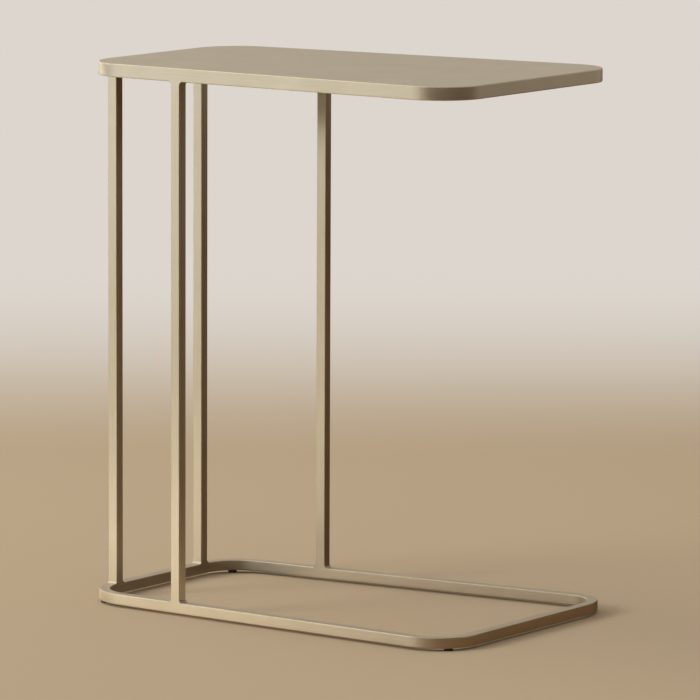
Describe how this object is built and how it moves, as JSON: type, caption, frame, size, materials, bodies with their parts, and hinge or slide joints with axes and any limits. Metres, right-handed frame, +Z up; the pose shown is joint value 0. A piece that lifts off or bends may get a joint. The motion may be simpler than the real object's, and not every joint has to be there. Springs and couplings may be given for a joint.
{
  "type": "side table",
  "caption": "C-shaped metal side table that slides over a sofa seat: tapered rounded top, open base ring, slim square posts near one end, small screw feet, brushed brass finish.",
  "frame": {"origin": "on the floor, under the middle of the table's outline", "axes": "+X from the end with the posts towards the open end, +Y across the table, +Z up"},
  "size_m": [0.516, 0.3336, 0.61],
  "materials": {
    "brushed_brass_finish": "brass-plated steel, brushed and lacquered to a champagne satin",
    "zinc_plated_steel": "bright zinc plate",
    "black_nylon": "moulded, matt"
  },
  "bodies": {
    "frame": {"top_sheet": "brushed_brass_finish", "sheet_tack_welds": "brushed_brass_finish", "top_ring_post_half": "brushed_brass_finish", "top_ring_open_half": "brushed_brass_finish", "base_ring_post_half": "brushed_brass_finish", "base_ring_open_half": "brushed_brass_finish", "front_end_post": "brushed_brass_finish", "front_end_post_foot_weld": "brushed_brass_finish", "front_end_post_head_weld": "brushed_brass_finish", "back_end_post": "brushed_brass_finish", "back_end_post_foot_weld": "brushed_brass_finish", "back_end_post_head_weld": "brushed_brass_finish", "front_side_post": "brushed_brass_finish", "front_side_post_foot_weld": "brushed_brass_finish", "front_side_post_head_weld": "brushed_brass_finish", "back_side_post": "brushed_brass_finish", "back_side_post_foot_weld": "brushed_brass_finish", "back_side_post_head_weld": "brushed_brass_finish"},
    "pad_post_end_front": {"foot_pad_post_end_front": "black_nylon"},
    "stud_post_end_front": {"foot_stud_post_end_front": "zinc_plated_steel"},
    "pad_open_end_front": {"foot_pad_open_end_front": "black_nylon"},
    "stud_open_end_front": {"foot_stud_open_end_front": "zinc_plated_steel"},
    "pad_open_end_back": {"foot_pad_open_end_back": "black_nylon"},
    "stud_open_end_back": {"foot_stud_open_end_back": "zinc_plated_steel"},
    "pad_post_end_back": {"foot_pad_post_end_back": "black_nylon"},
    "stud_post_end_back": {"foot_stud_post_end_back": "zinc_plated_steel"}
  },
  "joints": [
    {"name": "travel_post_end_front", "type": "slide", "parent": "frame", "child": "pad_post_end_front", "axis": [0, 0, -1], "range_m": [0, 0.004]},
    {"name": "turn_post_end_front", "type": "hinge", "parent": "pad_post_end_front", "child": "stud_post_end_front", "pos_m": [-0.23573, -0.12273, 0], "axis": [0, 0, -1], "range_deg": [0, 1440]},
    {"name": "travel_open_end_front", "type": "slide", "parent": "frame", "child": "pad_open_end_front", "axis": [0, 0, -1], "range_m": [0, 0.004]},
    {"name": "turn_open_end_front", "type": "hinge", "parent": "pad_open_end_front", "child": "stud_open_end_front", "pos_m": [0.24137, -0.14484, 0], "axis": [0, 0, -1], "range_deg": [0, 1440]},
    {"name": "travel_open_end_back", "type": "slide", "parent": "frame", "child": "pad_open_end_back", "axis": [0, 0, -1], "range_m": [0, 0.004]},
    {"name": "turn_open_end_back", "type": "hinge", "parent": "pad_open_end_back", "child": "stud_open_end_back", "pos_m": [0.24137, 0.14484, 0], "axis": [0, 0, -1], "range_deg": [0, 1440]},
    {"name": "travel_post_end_back", "type": "slide", "parent": "frame", "child": "pad_post_end_back", "axis": [0, 0, -1], "range_m": [0, 0.004]},
    {"name": "turn_post_end_back", "type": "hinge", "parent": "pad_post_end_back", "child": "stud_post_end_back", "pos_m": [-0.23573, 0.12273, 0], "axis": [0, 0, -1], "range_deg": [0, 1440]}
  ],
  "couplings": [
    {"joint": "turn_post_end_front", "follows": "travel_post_end_front", "rad_per_m": 6283.2},
    {"joint": "turn_open_end_front", "follows": "travel_open_end_front", "rad_per_m": 6283.2},
    {"joint": "turn_open_end_back", "follows": "travel_open_end_back", "rad_per_m": 6283.2},
    {"joint": "turn_post_end_back", "follows": "travel_post_end_back", "rad_per_m": 6283.2}
  ]
}
